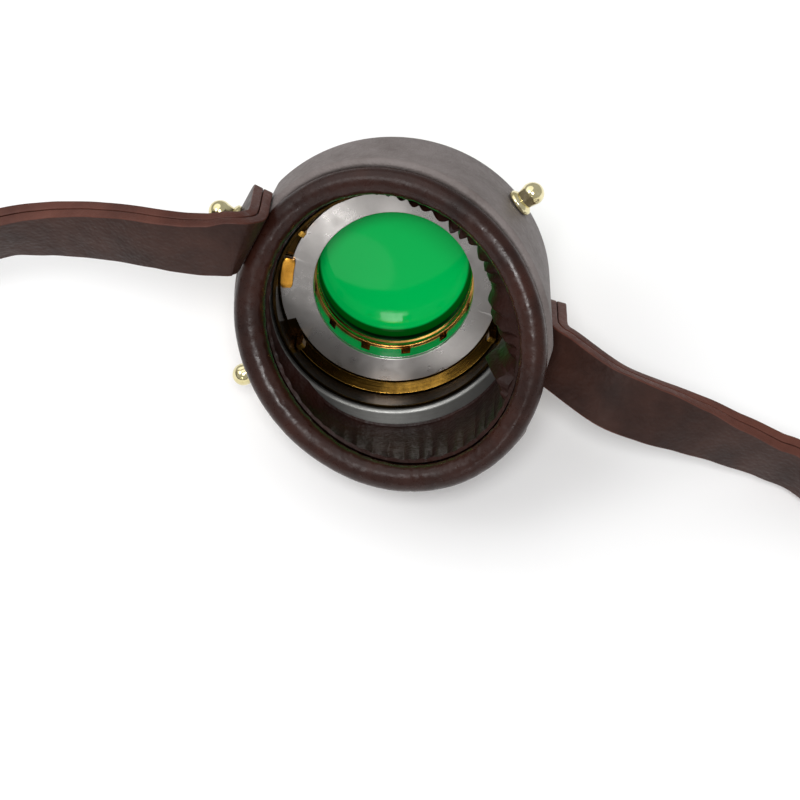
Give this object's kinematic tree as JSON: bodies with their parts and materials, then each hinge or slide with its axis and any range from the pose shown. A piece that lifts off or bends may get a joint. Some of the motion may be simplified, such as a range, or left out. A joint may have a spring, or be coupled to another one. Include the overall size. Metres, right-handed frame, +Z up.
{
  "type": "steampunk monocle",
  "caption": "Steampunk monocle: leather eye cup with a slanted padded rim, a green lens in a brass bayonet unit and a buckled leather head strap.",
  "frame": {"origin": "on the table, under the middle of the whole object's box, as it lies with its strap closed", "axes": "+Z up; +X to the right as seen from the eye side; the cup's eye side faces -Y and leans up by 30 degrees, the lens nose points to +Y and down"},
  "size_m": [0.2574, 0.1994, 0.0718],
  "materials": {
    "drum_leather": "matte grey-brown, finely grained",
    "strap_leather": "satin dark brown",
    "lining_leather": "dark, grained",
    "housing_aluminium": "satin turned",
    "brass": "turned",
    "polished_brass": "polished",
    "steel": "satin",
    "polished_steel": "polished",
    "green_glass": "tinted, polished"
  },
  "bodies": {
    "eye_cup": {"drum_shell": "drum_leather", "rim_bead": "strap_leather", "cup_lining": "lining_leather", "housing_ring": "housing_aluminium", "throat_ring": "brass", "band_lower": "brass", "band_upper": "brass", "front_flange": "brass", "flange_screw_1": "polished_brass", "flange_screw_2": "polished_brass", "flange_screw_3": "polished_brass", "flange_screw_4": "polished_brass", "flange_screw_5": "polished_brass", "flange_screw_6": "polished_brass", "dome_nut_1": "polished_brass", "dome_nut_2": "polished_brass", "dome_nut_3": "polished_brass", "dome_nut_4": "polished_brass", "stud_screw_1": "steel", "stud_screw_2": "steel", "stud_screw_3": "steel", "stud_screw_4": "steel"},
    "lens_unit": {"bayonet_plate": "steel", "lug_leaf_1": "polished_brass", "lug_leaf_2": "polished_brass", "lens_barrel": "brass", "spacer_sleeve": "polished_steel", "retaining_ring": "brass", "lens": "green_glass", "front_bezel": "brass"},
    "head_strap": {"left_strap_inner": "strap_leather", "left_strap_outer": "strap_leather", "right_strap_inner": "strap_leather", "right_strap_outer": "strap_leather", "strap_fold": "strap_leather", "strap_rivet": "polished_brass", "buckle_frame": "brass", "buckle_bar": "steel"},
    "tongue": {"buckle_tongue": "polished_brass"},
    "keeper": {"strap_keeper": "strap_leather"}
  },
  "joints": [
    {"name": "lens_twist", "type": "hinge", "parent": "eye_cup", "child": "lens_unit", "pos_m": [0.00055, 0.06754, 0.03243], "axis": [0, -0.866, 0.5], "range_deg": [-6, 9]},
    {"name": "strap_swivel", "type": "hinge", "parent": "eye_cup", "child": "head_strap", "pos_m": [0.00183, 0.06488, 0.03782], "axis": [0.9336, -0.1792, -0.3104], "range_deg": [-25, 15]},
    {"name": "tongue_lift", "type": "hinge", "parent": "head_strap", "child": "tongue", "pos_m": [0.01455, -0.08846, 0.0096], "axis": [0, 0, 1], "range_deg": [0, 12]},
    {"name": "keeper_slide", "type": "slide", "parent": "head_strap", "child": "keeper", "axis": [1, 0, 0], "range_m": [-0.004, 0.012]}
  ]
}
